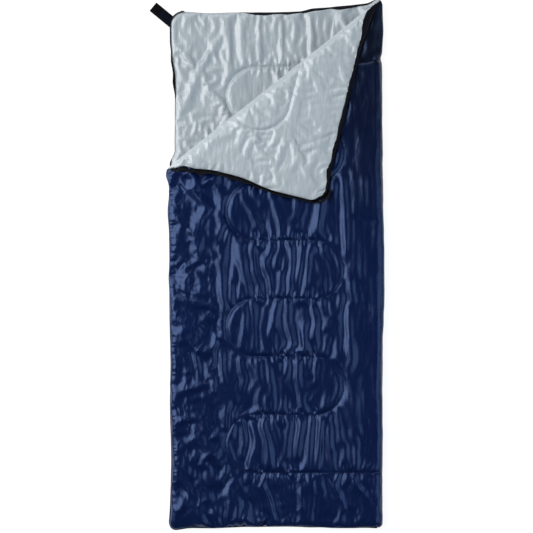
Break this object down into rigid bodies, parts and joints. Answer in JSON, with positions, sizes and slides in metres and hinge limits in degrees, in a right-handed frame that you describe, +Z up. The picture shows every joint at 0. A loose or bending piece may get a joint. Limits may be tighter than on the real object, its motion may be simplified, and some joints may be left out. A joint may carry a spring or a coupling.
{
  "type": "rectangular sleeping bag",
  "caption": "Rectangular quilted sleeping bag lying flat, its zip-side head corner turned back, with an L-shaped coil zip and a hook-and-loop closing tab.",
  "frame": {"origin": "middle of the underside, on the surface that the bag lies on", "axes": "+Y towards the head end, +X towards the closed long side, +Z up"},
  "size_m": [0.8051, 1.8353, 0.0739],
  "materials": {
    "shell_fabric": "navy satin polyester",
    "lining_fabric": "silver-grey satin polyester",
    "insulation_fill": "white hollow-fibre wadding",
    "quilting_thread": "polyester sewing thread",
    "zip_tape": "black woven tape",
    "zip_coil": "black nylon coil",
    "zip_moulding": "black moulded plastic",
    "zip_metal": "black painted die casting",
    "webbing": "navy-black woven webbing",
    "hook_tape": "black hook tape",
    "loop_tape": "black loop tape"
  },
  "bodies": {
    "bottom": {"bottom_shell": "shell_fabric", "bottom_insulation": "insulation_fill", "bottom_lining": "lining_fabric", "bottom_quilting_thread": "quilting_thread", "side_fold_bottom": "shell_fabric", "zip_tape_bottom": "zip_tape", "zip_coil_bottom": "zip_coil", "zip_stop_bottom": "zip_metal", "zip_box": "zip_moulding", "tab_sewn_end": "webbing"},
    "top": {"top_shell": "shell_fabric", "top_insulation": "insulation_fill", "top_lining": "lining_fabric", "top_quilting_thread": "quilting_thread", "side_fold_top": "shell_fabric", "turn_fold_top": "lining_fabric", "zip_tape_top": "zip_tape", "zip_coil_top": "zip_coil", "zip_pin": "zip_moulding"},
    "corner": {"corner_shell": "shell_fabric", "corner_insulation": "insulation_fill", "corner_lining": "lining_fabric", "corner_quilting_thread": "quilting_thread", "turn_fold_corner": "lining_fabric", "zip_tape_corner": "zip_tape", "zip_coil_corner": "zip_coil", "zip_stop_corner": "zip_metal", "loop_patch": "loop_tape"},
    "slider": {"zip_slider": "zip_metal"},
    "outer_puller": {"outer_puller": "zip_metal"},
    "inner_puller": {"inner_puller": "zip_metal"},
    "tab_base": {"tab_base": "webbing"},
    "tab_end": {"tab_end": "webbing", "hook_patch": "hook_tape"}
  },
  "joints": [
    {"name": "top_open", "type": "hinge", "parent": "bottom", "child": "top", "pos_m": [0.3712, 0, 0.024], "axis": [0, 1, 0], "range_deg": [0, 179.9]},
    {"name": "corner_turn", "type": "hinge", "parent": "top", "child": "corner", "pos_m": [-0.37, 0.3525, 0.049], "axis": [-0.7834, -0.6216, 0], "range_deg": [0, 179.9]},
    {"name": "slider_travel", "type": "slide", "parent": "bottom", "child": "slider", "axis": [0, -1, 0], "range_m": [-0.466, 1.19], "deforming": ["zip_coil_top", "zip_coil_corner"]},
    {"name": "outer_puller_swing", "type": "hinge", "parent": "slider", "child": "outer_puller", "pos_m": [-0.3744, 0.334, 0.024], "axis": [0, 0, -1], "range_deg": [0, 170]},
    {"name": "inner_puller_swing", "type": "hinge", "parent": "slider", "child": "inner_puller", "pos_m": [-0.3666, 0.334, 0.024], "axis": [0, 0, 1], "range_deg": [0, 170]},
    {"name": "tab_lift", "type": "hinge", "parent": "bottom", "child": "tab_base", "pos_m": [-0.36486, 0.87991, 0.0107], "axis": [0.5299, 0.848, 0], "range_deg": [0, 90]},
    {"name": "tab_fold", "type": "hinge", "parent": "tab_base", "child": "tab_end", "pos_m": [-0.39878, 0.9011, 0.0107], "axis": [0.5299, 0.848, 0], "range_deg": [0, 90]}
  ]
}
